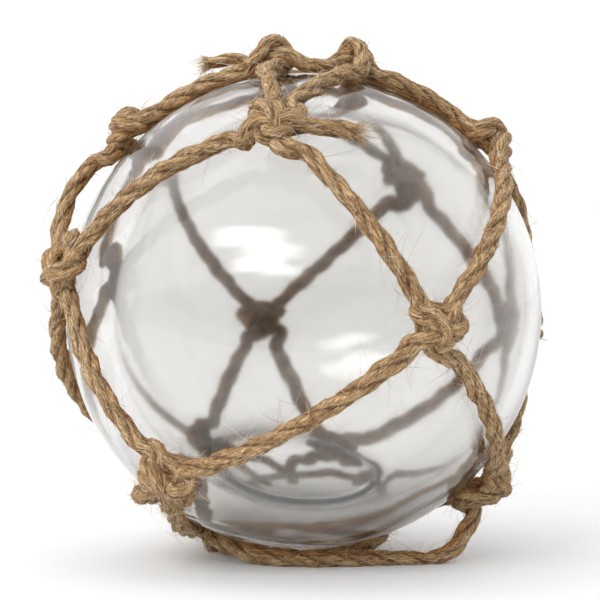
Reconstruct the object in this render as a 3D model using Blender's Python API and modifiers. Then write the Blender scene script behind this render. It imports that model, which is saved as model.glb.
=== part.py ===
"""Sealed glass ball in a hand-knotted jute net that is gathered on a ring cord at top and bottom.

The ball stands on the net's lower loops and on one slack strand, which its weight presses flat.
"""

import math

import bmesh
import bpy
from mathutils import Vector

# Driving dimensions, in metres
GLASS_DIAMETER = 0.127
SEAL_DIAMETER = 0.057
SEAL_GROOVE_WIDTH = 0.0022
SEAL_GROOVE_DEPTH = 0.0005
ROPE_DIAMETER = 0.0042
LOOP_CORD_DIAMETER = 0.0030
RING_CORD_DIAMETER = 0.0032
TOP_RING_DIAMETER = 0.028
BOTTOM_RING_DIAMETER = 0.046
UPPER_TAIL_LENGTH = 0.019
LOWER_TAIL_LENGTH = 0.013
RING_TAIL_LENGTH = 0.012
FOOT_HEIGHT = 0.0035
CLEARANCE = 0.0003
LOOP_CLEARANCE = 0.0005

# Where the knots of each row sit: longitude from the front (-Y) towards +X, and latitude, in degrees
UPPER_KNOTS = [(-94, 46), (-9, 47), (93, 42), (148, 34)]
MIDDLE_KNOTS = [(-69, 10), (29, -1), (116, -5), (195, -7)]
LOWER_KNOTS = [(-39, -36), (86, -42), (174, -43), (228, -42)]

# Each ring cord's centre on the ball, and the angles round it where the net loops over it
TOP_RING_CENTRE = (165, 84)
TOP_LOOPS = [-125, -40, 55, 122]
BOTTOM_RING_CENTRE = (178, -76)
BOTTOM_LOOPS = [275, 130, 205, 240]

# Slack strands, by the bottom loop that they come from: longitude, latitude, and height off the glass.
# The first passes under the ball and sags off it, and the other goes round the outside of a loop.
SLACK_STRANDS = {
    0: [
        (-60, -76, 0.0027),
        (10, -79.5, 0.0030),
        (45, -76, 0.0036),
        (70, -69, 0.0067),
        (80, -61, 0.0115),
        (84, -55, 0.0105),
        (87, -49, 0.0060),
    ],
    3: [(-130, -53, 0.0024), (-98, -50, 0.0024), (-66, -45, 0.0024)],
}

# Strands that bow off the glass between two knots, by the row and number of the knot above them
BOWED_STRANDS = {
    (0, 0): [(-91, 36, 0.0048), (-90, 28, 0.0062), (-86, 20, 0.0052), (-81, 14, 0.0036)],
}

# Direction of the seal, where the ball was closed, as longitude and latitude
SEAL_PLACE = (207, -69)

# The two cords of a knot, in rope diameters: right, up, and out from the glass.
# The bight comes down from the two upper strands, and the wrap goes round its legs.
BIGHT = [
    (-1.05, 1.20, 0.60),
    (-0.72, -0.15, 0.90),
    (0.00, -1.05, 0.95),
    (0.72, -0.15, 0.90),
    (1.05, 1.20, 0.60),
]
WRAP = [
    (-1.45, -1.10, 0.70),
    (-0.75, -0.45, 1.50),
    (0.00, -0.25, 1.20),
    (0.80, -0.10, 1.50),
    (1.40, 0.45, 0.90),
    (0.70, 0.95, 0.50),
    (-0.75, 0.95, 0.50),
    (-1.20, 0.60, 1.15),
    (-0.35, 0.40, 1.65),
    (0.15, -0.50, 1.10),
    (0.75, -1.40, 0.50),
]
STRAND_ANCHOR = 2.4
KNOT_POINT_SPACING = 1.5
STRAND_POINT_SPACING = 2.3

# A loop over a ring: its legs in loop radii, and its side step in loop cord diameters
LOOP_LEG = 2.6
LOOP_LEG_SPLAY = 0.8
LOOP_PITCH = 1.3
LOOP_POINTS = 7

# A loop starts behind the ring and sweeps over it, in degrees round the ring cord
LOOP_START_ANGLE = 165
LOOP_SWEEP = 255

# A ring cord stays lifted this near to a loop, then settles over this width, in degrees
RING_LIFTED = 14
RING_SETTLING = 22

# The angle on the top ring where its cut end leaves, and where along its length the end is over the net
RING_END_ANGLE = -95
RING_END_OVER = 0.4

# A strand has points of its own at these shares of its length
STRAND_SHARES = (1 / 3, 2 / 3)

# The two cut ends, in rope diameters like the knots, with their last point at their length
UPPER_TAIL = [(0.4, -0.1, 0.8), (0.5, 0.35, 0.80), (1.0, 0.75, 0.75)]
LOWER_TAIL = [(0.1, -0.4, 1.0), (0.2, -0.6, 1.1), (0.3, -1.0, 0.8)]

# Segments of the round forms, and the angles at which faces are merged or stay sharp
BALL_STEPS = 32
BALL_PROFILE_POINTS = 16
RING_STEPS = 30
SLIVER_ANGLE = 4.0
SHARP_ANGLE = 50.0
MERGE_DISTANCE = 0.00001
CORD_BEVEL_RESOLUTION = 1

GLASS_RADIUS = GLASS_DIAMETER / 2
BALL_CENTRE = Vector((0.0, 0.0, GLASS_RADIUS + FOOT_HEIGHT))
STRAND_HEIGHT = CLEARANCE + ROPE_DIAMETER / 2
LOOP_LOW = CLEARANCE + LOOP_CORD_DIAMETER / 2
LOOP_RADIUS = LOOP_CORD_DIAMETER / 2 + LOOP_CLEARANCE + RING_CORD_DIAMETER / 2
RING_HEIGHT = LOOP_LOW + LOOP_RADIUS
RING_LOW = CLEARANCE + RING_CORD_DIAMETER / 2
FLOOR_BLOCK = (2 * GLASS_DIAMETER, 2 * GLASS_DIAMETER, 4 * ROPE_DIAMETER)


def clear_scene():
    for obj in list(bpy.data.objects):
        bpy.data.objects.remove(obj, do_unlink=True)


def collection(name):
    made = bpy.data.collections.new(name)
    bpy.context.scene.collection.children.link(made)
    return made


def principled(name, color, roughness, metallic=0.0, transmission=0.0):
    material = bpy.data.materials.new(name)
    material.use_nodes = True
    shader = material.node_tree.nodes["Principled BSDF"]
    shader.inputs["Base Color"].default_value = (*color, 1.0)
    shader.inputs["Roughness"].default_value = roughness
    shader.inputs["Metallic"].default_value = metallic
    shader.inputs["Transmission Weight"].default_value = transmission
    material.diffuse_color = (*color, 1.0)
    return material


def direction(place):
    longitude, latitude = (math.radians(angle) for angle in place)
    return Vector(
        (
            math.cos(latitude) * math.sin(longitude),
            -math.cos(latitude) * math.cos(longitude),
            math.sin(latitude),
        )
    )


def towards(start, end):
    """Unit vector along the ball's surface from one direction towards another."""
    return (end - start * start.dot(end)).normalized()


def on_ball(normal, right, up, offset):
    """A point reached by going along the glass from a place on it, then out by a height."""
    across, along, height = offset
    distance = math.hypot(across, along)
    if distance < 1e-9:
        return normal * (GLASS_RADIUS + height)
    turn = distance / GLASS_RADIUS
    tangent = (right * across + up * along) / distance
    return (normal * math.cos(turn) + tangent * math.sin(turn)) * (GLASS_RADIUS + height)


class Knot:
    """One knot of the net: a place on the ball, with its up direction between its strands."""

    def __init__(self, place):
        self.normal = direction(place)

    def join(self, upper_left, upper_right, lower_left, lower_right):
        self.strands = {
            "upper_left": towards(self.normal, upper_left),
            "upper_right": towards(self.normal, upper_right),
            "lower_left": towards(self.normal, lower_left),
            "lower_right": towards(self.normal, lower_right),
        }
        lean = self.strands["upper_left"] + self.strands["upper_right"]
        lean -= self.strands["lower_left"] + self.strands["lower_right"]
        self.up = (lean - self.normal * lean.dot(self.normal)).normalized()
        self.right = self.up.cross(self.normal)

    def point(self, offset):
        across, along, out = (value * ROPE_DIAMETER for value in offset)
        return on_ball(self.normal, self.right, self.up, (across, along, CLEARANCE + out))

    def anchor(self, strand):
        reach = STRAND_ANCHOR * ROPE_DIAMETER
        heading = self.strands[strand]
        return on_ball(self.normal, heading, self.up, (reach, 0.0, STRAND_HEIGHT))

    def bight(self):
        inner = [self.point(offset) for offset in BIGHT]
        return [self.anchor("upper_left"), *inner, self.anchor("upper_right")]

    def wrap(self):
        inner = [self.point(offset) for offset in WRAP]
        return [self.anchor("lower_left"), *inner, self.anchor("lower_right")]


class RingFrame:
    """The circle that a ring cord follows on the ball."""

    def __init__(self, centre, diameter):
        self.axis = direction(centre)
        self.opening = math.asin(diameter / 2 / (GLASS_RADIUS + RING_HEIGHT))
        front = Vector((0.0, -1.0, 0.0))
        self.front = towards(self.axis, front)
        self.side = self.axis.cross(self.front) * math.copysign(1.0, self.axis.z)

    def normal(self, degrees):
        turn = math.radians(degrees)
        outward = self.front * math.cos(turn) + self.side * math.sin(turn)
        return self.axis * math.cos(self.opening) + outward * math.sin(self.opening)

    def loop(self, degrees, before, after):
        """The net cord's turn over the ring, down inside it and back out under it.

        The cord comes from the knot before and goes on to the knot after.
        """
        normal = self.normal(degrees)
        inward = towards(normal, self.axis)
        turn = math.radians(degrees)
        along = (self.side * math.cos(turn) - self.front * math.sin(turn)).normalized()
        reach = (LOOP_LEG * LOOP_RADIUS, 0.0, STRAND_HEIGHT)
        heading_in = (towards(normal, before) - inward * LOOP_LEG_SPLAY).normalized()
        heading_out = (towards(normal, after) - inward * LOOP_LEG_SPLAY).normalized()
        points = [on_ball(normal, heading_in, inward, reach)]
        for step in range(LOOP_POINTS):
            share = step / (LOOP_POINTS - 1)
            angle = math.radians(LOOP_START_ANGLE - LOOP_SWEEP * share)
            offset = (
                LOOP_CORD_DIAMETER * LOOP_PITCH * (share - 0.5),
                LOOP_RADIUS * math.cos(angle),
                RING_HEIGHT + LOOP_RADIUS * math.sin(angle),
            )
            points.append(on_ball(normal, along, inward, offset))
        points.append(on_ball(normal, heading_out, inward, reach))
        return points


def smooth_path(points, spacings, closed):
    """Points along a smooth curve through the given ones, one spacing for each stretch."""
    count = len(points)
    stretches = count if closed else count - 1
    path = []
    for index in range(stretches):
        if closed:
            before, start, end, after = (points[(index + k) % count] for k in (-1, 0, 1, 2))
        else:
            start, end = points[index], points[index + 1]
            before = points[index - 1] if index else start * 2 - end
            after = points[index + 2] if index + 2 < count else end * 2 - start
        parts = max(1, round((end - start).length / spacings[index]))
        for part in range(parts):
            path.append(spline_point(before, start, end, after, part / parts))
    if not closed:
        path.append(points[-1])
    return path


def spline_point(before, start, end, after, share):
    """A centripetal Catmull-Rom point between start and end."""
    t0 = 0.0
    t1 = t0 + max((start - before).length, 1e-6) ** 0.5
    t2 = t1 + max((end - start).length, 1e-6) ** 0.5
    t3 = t2 + max((after - end).length, 1e-6) ** 0.5
    t = t1 + (t2 - t1) * share
    a1 = before * ((t1 - t) / (t1 - t0)) + start * ((t - t0) / (t1 - t0))
    a2 = start * ((t2 - t) / (t2 - t1)) + end * ((t - t1) / (t2 - t1))
    a3 = end * ((t3 - t) / (t3 - t2)) + after * ((t - t2) / (t3 - t2))
    b1 = a1 * ((t2 - t) / (t2 - t0)) + a2 * ((t - t0) / (t2 - t0))
    b2 = a2 * ((t3 - t) / (t3 - t1)) + a3 * ((t - t1) / (t3 - t1))
    return b1 * ((t2 - t) / (t2 - t1)) + b2 * ((t - t1) / (t2 - t1))


def arc_between(start, end):
    """The strand's own points from one anchor to the next, along the glass."""
    points = []
    for share in STRAND_SHARES:
        heading = start.normalized().slerp(end.normalized(), share)
        points.append(heading * (GLASS_RADIUS + STRAND_HEIGHT))
    return points


def tube(name, points, radii, closed, target):
    """A round cord through the points, as a closed mesh."""
    curve = bpy.data.curves.new(name, "CURVE")
    curve.dimensions = "3D"
    curve.bevel_depth = 1.0
    curve.bevel_resolution = CORD_BEVEL_RESOLUTION
    curve.use_fill_caps = True
    spline = curve.splines.new("POLY")
    spline.points.add(len(points) - 1)
    for slot, point, radius in zip(spline.points, points, radii):
        slot.co = (*(point + BALL_CENTRE), 1.0)
        slot.radius = radius
    spline.use_cyclic_u = closed
    guide = bpy.data.objects.new(name + "_guide", curve)
    target.objects.link(guide)
    depsgraph = bpy.context.evaluated_depsgraph_get()
    mesh = bpy.data.meshes.new_from_object(guide.evaluated_get(depsgraph))
    weld = bmesh.new()
    weld.from_mesh(mesh)
    bmesh.ops.remove_doubles(weld, verts=weld.verts, dist=MERGE_DISTANCE)
    bmesh.ops.recalc_face_normals(weld, faces=weld.faces)
    weld.to_mesh(mesh)
    weld.free()
    made = bpy.data.objects.new(name, mesh)
    made.matrix_world = guide.matrix_world
    target.objects.link(made)
    bpy.data.objects.remove(guide, do_unlink=True)
    return made


def zigzag_cord(name, turns, target):
    """One closed cord of the net, through its turns one after another.

    Each turn is its points, the radius that the cord is drawn down to there, and the places
    that the strand after it passes over, if it doesn't run straight.
    """
    points = []
    spacings = []
    radii = []
    for index, (turn, radius, route) in enumerate(turns):
        following = turns[(index + 1) % len(turns)][0]
        between = [direction(place[:2]) * (GLASS_RADIUS + place[2]) for place in route]
        between = between or arc_between(turn[-1], following[0])
        fine = KNOT_POINT_SPACING * 2 * radius
        points += turn + between
        spacings += [fine] * (len(turn) - 1)
        spacings += [STRAND_POINT_SPACING * ROPE_DIAMETER] * (len(between) + 1)
        radii += [ROPE_DIAMETER / 2] + [radius] * (len(turn) - 2)
        radii += [ROPE_DIAMETER / 2] * (len(between) + 1)
    radii = spread_radii(points, radii, spacings)
    path = [off_the_glass(*pair) for pair in zip(smooth_path(points, spacings, closed=True), radii)]
    return tube(name, path, radii, True, target)


def off_the_glass(point, radius):
    """The point, moved out to where a cord of this radius just clears the glass."""
    nearest = GLASS_RADIUS + CLEARANCE + radius
    return point if point.length >= nearest else point.normalized() * nearest


def spread_radii(points, radii, spacings):
    """The radius at every point of the smooth path, eased from one given point to the next."""
    count = len(points)
    spread = []
    for index in range(count):
        parts = max(1, round((points[(index + 1) % count] - points[index]).length / spacings[index]))
        for part in range(parts):
            share = part / parts
            spread.append(radii[index] * (1 - share) + radii[(index + 1) % count] * share)
    return spread


def tail(name, points, radius, target):
    spacings = [2 * radius] * (len(points) - 1)
    path = [off_the_glass(point, radius) for point in smooth_path(points, spacings, closed=False)]
    return tube(name, path, [radius] * len(path), False, target)


def hide_cutter(obj):
    obj.hide_render = True
    obj.display_type = "WIRE"


def merge(base, others, cutters):
    """Fuse the cords into the base, as one closed body without inner voids."""
    group = bpy.data.collections.new(base.name + "_cords")
    cutters.children.link(group)
    for other in others:
        for holder in list(other.users_collection):
            holder.objects.unlink(other)
        group.objects.link(other)
        hide_cutter(other)
    union = base.modifiers.new("Union", "BOOLEAN")
    union.operation = "UNION"
    union.solver = "EXACT"
    union.operand_type = "COLLECTION"
    union.collection = group
    union.use_self = True
    apply_modifiers(base)


def trim_below_floor(obj, cutters):
    """Press the cord flat where it stands on the floor."""
    block = bmesh.new()
    bmesh.ops.create_cube(block, size=1.0)
    bmesh.ops.scale(block, vec=FLOOR_BLOCK, verts=block.verts)
    bmesh.ops.translate(block, vec=(0.0, 0.0, -FLOOR_BLOCK[2] / 2), verts=block.verts)
    mesh = bpy.data.meshes.new(obj.name + "_floor")
    block.to_mesh(mesh)
    block.free()
    cutter = bpy.data.objects.new(obj.name + "_floor", mesh)
    cutters.objects.link(cutter)
    hide_cutter(cutter)
    cut = obj.modifiers.new("Pressed flat", "BOOLEAN")
    cut.operation = "DIFFERENCE"
    cut.solver = "EXACT"
    cut.object = cutter
    apply_modifiers(obj)


def apply_modifiers(obj):
    depsgraph = bpy.context.evaluated_depsgraph_get()
    mesh = bpy.data.meshes.new_from_object(obj.evaluated_get(depsgraph))
    obj.modifiers.clear()
    old = obj.data
    obj.data = mesh
    bpy.data.meshes.remove(old)


def keep_outer_skin(obj):
    """Remove the small closed voids left between the turns of a knot."""
    work = bmesh.new()
    work.from_mesh(obj.data)
    bmesh.ops.dissolve_limit(
        work,
        angle_limit=math.radians(SLIVER_ANGLE),
        verts=work.verts,
        edges=work.edges,
    )
    bmesh.ops.triangulate(work, faces=work.faces)
    islands = []
    waiting = set(work.faces)
    while waiting:
        seed = waiting.pop()
        island = [seed]
        stack = [seed]
        while stack:
            face = stack.pop()
            for edge in face.edges:
                for neighbour in edge.link_faces:
                    if neighbour in waiting:
                        waiting.remove(neighbour)
                        island.append(neighbour)
                        stack.append(neighbour)
        islands.append(island)
    islands.sort(key=len)
    for island in islands[:-1]:
        bmesh.ops.delete(work, geom=island, context="FACES")
    loose = [vert for vert in work.verts if not vert.link_faces]
    bmesh.ops.delete(work, geom=loose, context="VERTS")
    work.to_mesh(obj.data)
    work.free()


def finish(obj, material):
    obj.data.materials.clear()
    obj.data.materials.append(material)
    obj.data.shade_smooth()
    obj.data.set_sharp_from_angle(angle=math.radians(SHARP_ANGLE))


def make_glass_ball(target):
    """A turned ball whose axis runs through the seal, with the seal's shallow edge groove."""
    seal_angle = math.asin(SEAL_DIAMETER / GLASS_DIAMETER)
    groove = SEAL_GROOVE_WIDTH / GLASS_RADIUS
    seal_angles = [0.0, seal_angle / 2, seal_angle - groove / 2, seal_angle, seal_angle + groove / 2]
    first = seal_angles[-1]
    steps = BALL_PROFILE_POINTS
    angles = seal_angles + [first + (math.pi - first) * step / steps for step in range(1, steps + 1)]
    profile = bmesh.new()
    verts = []
    for angle in angles:
        radius = GLASS_RADIUS - (SEAL_GROOVE_DEPTH if angle == seal_angle else 0.0)
        across = 0.0 if angle in (0.0, angles[-1]) else radius * math.sin(angle)
        verts.append(profile.verts.new((across, 0.0, radius * math.cos(angle))))
    for start, end in zip(verts, verts[1:]):
        profile.edges.new((start, end))
    mesh = bpy.data.meshes.new("glass_ball")
    profile.to_mesh(mesh)
    profile.free()
    ball = bpy.data.objects.new("glass_ball", mesh)
    target.objects.link(ball)
    turned = ball.modifiers.new("Turned", "SCREW")
    turned.steps = BALL_STEPS
    turned.render_steps = BALL_STEPS
    turned.use_merge_vertices = True
    turned.merge_threshold = MERGE_DISTANCE
    turned.use_normal_calculate = True
    ball.location = BALL_CENTRE
    ball.rotation_mode = "QUATERNION"
    ball.rotation_quaternion = direction(SEAL_PLACE).to_track_quat("Z", "Y")
    return ball


def join_rows(rows, top, bottom):
    """Give every knot the strands that leave it, towards the rows above and below."""
    for level, row in enumerate(rows):
        count = len(row)
        for index, knot in enumerate(row):
            if level == 0:
                upper = [top.normal(TOP_LOOPS[index]), top.normal(TOP_LOOPS[(index + 1) % count])]
            else:
                upper = [rows[level - 1][index].normal, rows[level - 1][(index + 1) % count].normal]
            if level == len(rows) - 1:
                route = SLACK_STRANDS.get((index - 1) % count)
                left = direction(route[-1][:2]) if route else bottom.normal(BOTTOM_LOOPS[index - 1])
                lower = [left, bottom.normal(BOTTOM_LOOPS[index])]
            else:
                lower = [rows[level + 1][index - 1].normal, rows[level + 1][index].normal]
            knot.join(*upper, *lower)


def make_net(rows, top, bottom, target, cutters):
    knot_radius = ROPE_DIAMETER / 2
    loop_radius = LOOP_CORD_DIAMETER / 2
    count = len(rows[0])
    cords = []
    turns = []
    for index in range(count):
        beside = rows[0][index - 1].normal, rows[0][index].normal
        turns.append((top.loop(TOP_LOOPS[index], *beside), loop_radius, []))
        turns.append((rows[0][index].bight(), knot_radius, []))
    cords.append(zigzag_cord("rope_net", turns, target))
    for level in range(len(rows) - 1):
        turns = []
        for index in range(count):
            route = BOWED_STRANDS.get((level, index), [])
            turns.append((rows[level][index].wrap(), knot_radius, route))
            turns.append((rows[level + 1][index].bight(), knot_radius, []))
        cords.append(zigzag_cord(f"net_cord_{level}", turns, target))
    turns = []
    for index in range(count):
        turns.append((rows[-1][index].wrap(), knot_radius, []))
        route = SLACK_STRANDS.get(index, [])
        after = direction(route[0][:2]) if route else rows[-1][(index + 1) % count].normal
        beside = rows[-1][index].normal, after
        turns.append((bottom.loop(BOTTOM_LOOPS[index], *beside), loop_radius, route))
    cords.append(zigzag_cord("net_cord_last", turns, target))
    cords += knot_tails(rows, target)
    net = cords[0]
    merge(net, cords[1:], cutters)
    trim_below_floor(net, cutters)
    keep_outer_skin(net)
    return net


def knot_tails(rows, target):
    """The cut ends that stand out of two of the knots, one to the right and one downwards."""
    upper = UPPER_TAIL_LENGTH / ROPE_DIAMETER
    lower = LOWER_TAIL_LENGTH / ROPE_DIAMETER
    right = [UPPER_TAIL[0]] + [(across * upper, along, out) for across, along, out in UPPER_TAIL[1:]]
    down = [LOWER_TAIL[0]] + [(across, along * lower, out) for across, along, out in LOWER_TAIL[1:]]
    return [
        tail("upper_tail", [rows[0][1].point(offset) for offset in right], ROPE_DIAMETER / 2, target),
        tail("lower_tail", [rows[-1][0].point(offset) for offset in down], ROPE_DIAMETER / 2, target),
    ]


def make_ring(name, ring, loops, target):
    """A ring cord, held off the glass at each loop and settling towards it in between."""
    points = []
    for step in range(RING_STEPS):
        degrees = 360 * step / RING_STEPS
        nearest = min(abs((degrees - loop + 180) % 360 - 180) for loop in loops)
        settle = max(0.0, min(1.0, (nearest - RING_LIFTED) / RING_SETTLING))
        settle = settle * settle * (3 - 2 * settle)
        height = RING_HEIGHT + (RING_LOW + CLEARANCE - RING_HEIGHT) * settle
        points.append(ring.normal(degrees) * (GLASS_RADIUS + height))
    return tube(name, points, [RING_CORD_DIAMETER / 2] * RING_STEPS, True, target)


def make_top_ring(ring, target, cutters):
    """The top ring cord, with its cut end lying out to the left over the net."""
    made = make_ring("top_ring_cord", ring, TOP_LOOPS, target)
    normal = ring.normal(RING_END_ANGLE)
    heading = towards(normal, Vector((-1.0, 0.0, 0.0)))
    side = normal.cross(heading)
    over = CLEARANCE + ROPE_DIAMETER + LOOP_CLEARANCE + RING_CORD_DIAMETER / 2
    points = [
        normal * (GLASS_RADIUS + RING_LOW + CLEARANCE),
        on_ball(normal, heading, side, (RING_TAIL_LENGTH * RING_END_OVER, 0.0, over)),
        on_ball(normal, heading, side, (RING_TAIL_LENGTH, 0.0, over + RING_CORD_DIAMETER / 2)),
    ]
    end = tail("top_ring_end", points, RING_CORD_DIAMETER / 2, target)
    merge(made, [end], cutters)
    keep_outer_skin(made)
    return made


def stand_over_origin(pieces, target):
    """Centre the whole part's box over the origin, with its feet on the floor."""
    bpy.context.view_layer.update()
    depsgraph = bpy.context.evaluated_depsgraph_get()
    corners = []
    for piece in pieces:
        seen = piece.evaluated_get(depsgraph)
        corners += [seen.matrix_world @ vert.co for vert in seen.data.vertices]
    middle = [(min(c[axis] for c in corners) + max(c[axis] for c in corners)) / 2 for axis in (0, 1)]
    stand = bpy.data.objects.new("rope_wrapped_glass_ball_origin", None)
    target.objects.link(stand)
    stand.location = (-middle[0], -middle[1], 0.0)
    for piece in pieces:
        piece.parent = stand


def main():
    clear_scene()
    parts = collection("rope_wrapped_glass_ball")
    cutters = collection("cutters")
    glass = principled("glass", (0.86, 0.88, 0.88), 0.03, transmission=1.0)
    jute = principled("jute_rope", (0.50, 0.36, 0.22), 0.9)
    top = RingFrame(TOP_RING_CENTRE, TOP_RING_DIAMETER)
    bottom = RingFrame(BOTTOM_RING_CENTRE, BOTTOM_RING_DIAMETER)
    rows = [[Knot(place) for place in row] for row in (UPPER_KNOTS, MIDDLE_KNOTS, LOWER_KNOTS)]
    join_rows(rows, top, bottom)
    ball = make_glass_ball(parts)
    net = make_net(rows, top, bottom, parts, cutters)
    top_ring = make_top_ring(top, parts, cutters)
    bottom_ring = make_ring("bottom_ring_cord", bottom, BOTTOM_LOOPS, parts)
    trim_below_floor(bottom_ring, cutters)
    finish(ball, glass)
    for cord in (net, top_ring, bottom_ring):
        finish(cord, jute)
    stand_over_origin((ball, net, top_ring, bottom_ring), parts)


main()
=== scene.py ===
"""Looks of a sealed glass ball in a hand-knotted jute net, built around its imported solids.

The glass is a thick clear shell round an off-centre cavity. The net and its two ring cords are
three-ply twisted rope, swept along the same routes as the solids, under fine laid and loose fibres.
"""

import math

import bpy
import numpy as np
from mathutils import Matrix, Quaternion, Vector


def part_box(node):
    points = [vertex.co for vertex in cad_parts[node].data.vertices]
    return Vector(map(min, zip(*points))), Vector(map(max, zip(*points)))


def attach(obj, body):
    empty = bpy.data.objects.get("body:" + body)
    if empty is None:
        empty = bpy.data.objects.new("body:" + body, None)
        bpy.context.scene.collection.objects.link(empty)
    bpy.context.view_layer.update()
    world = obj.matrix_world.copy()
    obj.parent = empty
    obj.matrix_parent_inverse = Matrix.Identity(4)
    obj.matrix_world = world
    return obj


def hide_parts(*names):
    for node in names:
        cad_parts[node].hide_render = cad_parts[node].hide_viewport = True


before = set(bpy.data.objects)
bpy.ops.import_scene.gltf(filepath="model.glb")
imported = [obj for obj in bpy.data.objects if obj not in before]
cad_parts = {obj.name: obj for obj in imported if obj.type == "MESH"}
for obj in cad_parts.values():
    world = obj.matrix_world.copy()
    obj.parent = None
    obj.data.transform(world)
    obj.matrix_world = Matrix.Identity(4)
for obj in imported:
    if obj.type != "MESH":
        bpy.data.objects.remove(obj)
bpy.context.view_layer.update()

# Sizes, in metres, as the solids have them
GLASS_DIAMETER = 0.127
SEAL_DIAMETER = 0.057
SEAL_GROOVE_WIDTH = 0.0022
SEAL_GROOVE_DEPTH = 0.0005
ROPE_DIAMETER = 0.0042
LOOP_CORD_DIAMETER = 0.0030
RING_CORD_DIAMETER = 0.0032
TOP_RING_DIAMETER = 0.028
BOTTOM_RING_DIAMETER = 0.046
UPPER_TAIL_LENGTH = 0.019
LOWER_TAIL_LENGTH = 0.013
RING_TAIL_LENGTH = 0.012
CLEARANCE = 0.0003
LOOP_CLEARANCE = 0.0005

# Where the knots of each row sit: longitude from the front (-Y) towards +X, and latitude, in degrees
UPPER_KNOTS = [(-94, 46), (-9, 47), (93, 42), (148, 34)]
MIDDLE_KNOTS = [(-69, 10), (29, -1), (116, -5), (195, -7)]
LOWER_KNOTS = [(-39, -36), (86, -42), (174, -43), (228, -42)]

# Each ring cord's centre on the ball, and the angles round it where the net loops over it
TOP_RING_CENTRE = (165, 84)
TOP_LOOPS = [-125, -40, 55, 122]
BOTTOM_RING_CENTRE = (178, -76)
BOTTOM_LOOPS = [275, 130, 205, 240]

# Slack strands, by the bottom loop that they come from: longitude, latitude, and height off the glass.
# The first passes under the ball and sags off it, and the other goes round the outside of a loop.
SLACK_STRANDS = {
    0: [
        (-60, -76, 0.0027),
        (10, -79.5, 0.0030),
        (45, -76, 0.0036),
        (70, -69, 0.0067),
        (80, -61, 0.0115),
        (84, -55, 0.0105),
        (87, -49, 0.0060),
    ],
    3: [(-130, -53, 0.0024), (-98, -50, 0.0024), (-66, -45, 0.0024)],
}

# Strands that bow off the glass between two knots, by the cord and the number of the knot above them
BOWED_STRANDS = {
    ("upper", 0): [(-91, 36, 0.0048), (-90, 28, 0.0062), (-86, 20, 0.0052), (-81, 14, 0.0036)],
}

# Direction of the seal, where the ball was closed, as longitude and latitude
SEAL_PLACE = (207, -69)

# The two cords of a knot, in rope diameters: right, up, and out from the glass
BIGHT = [
    (-1.05, 1.25, 0.60),
    (-0.80, 0.30, 0.85),
    (-0.60, -0.60, 0.95),
    (0.00, -1.05, 0.95),
    (0.60, -0.60, 0.95),
    (0.80, 0.30, 0.85),
    (1.05, 1.25, 0.60),
]
WRAP = [
    (-1.45, -1.30, 0.55),
    (-1.30, -0.80, 1.00),
    (-0.75, -0.45, 1.50),
    (0.00, -0.25, 1.20),
    (0.80, -0.10, 1.50),
    (1.35, 0.35, 1.00),
    (1.00, 0.90, 0.50),
    (0.00, 0.95, 0.50),
    (-1.05, 0.90, 0.50),
    (-1.20, 0.65, 1.10),
    (-0.50, 0.50, 1.60),
    (0.00, 0.00, 1.65),
    (0.15, -0.65, 0.90),
    (0.40, -1.20, 0.50),
    (1.15, -1.55, 0.50),
]
STRAND_ANCHOR = 2.4

# A strand has a point of its own about every so many radians round the ball
STRAND_POINT_ANGLE = 0.12

# The two cut ends that stand out of knots, in rope diameters like the knots
UPPER_TAIL_RUN = UPPER_TAIL_LENGTH / ROPE_DIAMETER
UPPER_TAIL = [(0.4, -0.1, 0.8), (UPPER_TAIL_RUN * 0.5, 0.35, 0.80), (UPPER_TAIL_RUN, 0.75, 0.75)]
LOWER_TAIL_RUN = LOWER_TAIL_LENGTH / ROPE_DIAMETER
LOWER_TAIL = [(0.1, -0.4, 1.0), (0.2, -LOWER_TAIL_RUN * 0.6, 1.1), (0.3, -LOWER_TAIL_RUN, 0.8)]

# A ring cord stays lifted this near to a loop, then settles over this width, in degrees
RING_STEPS = 60
RING_LIFTED = 14
RING_SETTLING = 22

# The angle on the top ring where its cut end leaves, and where along its length the end is over the net
RING_END_ANGLE = -95
RING_END_OVER = 0.4

# A loop over a ring: its legs in loop radii, and its side step in loop cord diameters
LOOP_LEG = 2.6
LOOP_LEG_SPLAY = 0.8
LOOP_PITCH = 1.3
LOOP_POINTS = 7
LOOP_START_ANGLE = 165
LOOP_SWEEP = 255

# The rope's make: plies, the length of one turn of a ply, and its mesh
ROPE_FULLNESS = 1.13
KNOT_FULLNESS = 1.14
SQUEEZED_FULLNESS = 1.32
PLIES = 3
LAY_LENGTH = 0.028
PLY_RADIUS_SHARE = 0.58
ROPE_RING_STEP = 0.0008
ROPE_AROUND = 36
CURVE_PARTS = 12
ROPE_UNEVENNESS = 0.10
ROPE_THICKNESS_WAVE = 0.04
PLY_WAVES = (0.006, 0.011, 0.019, 0.031)
THICKNESS_WAVES = (0.023, 0.041, 0.067)
RIDGE_WAVES = (0.003, 0.004, 0.005, 0.006, 0.008, 0.010, 0.013, 0.017)
RIDGE_TURNS = (6, 19)
FIBRE_RIDGE = 0.00009
CONTACT_GAP = 0.00005
CONTACT_SHARE = 0.96
MATERIAL_SHIFT = 1.7
CUT_FACE_BULGE = 0.5
# The height over the groove that a cut face's middle gets, which sets how much painted groove shade it has
CUT_FACE_HEIGHT = 0.2

# Loose fibres: how many for each metre of rope, and their size
FIBRES_PER_METRE = 2600
FIBRE_LENGTH = (0.0015, 0.0075)
FIBRE_REACH = 0.0025
FIBRE_RADIUS = (0.000040, 0.000080)
FIBRE_RINGS = 5
FIBRE_CORNERS = 3
FIBRE_ROOT = 0.9
FIBRE_LIFT = (0.15, 1.2)
FIBRE_SWING = 0.45
FIBRE_CURL = 0.45
FIBRE_RISE = (-0.7, 0.5)
FIBRE_TWIRL = 0.22
FIBRE_TAPER = 0.6
FIBRE_TONES = (0.2, 1)

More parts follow.
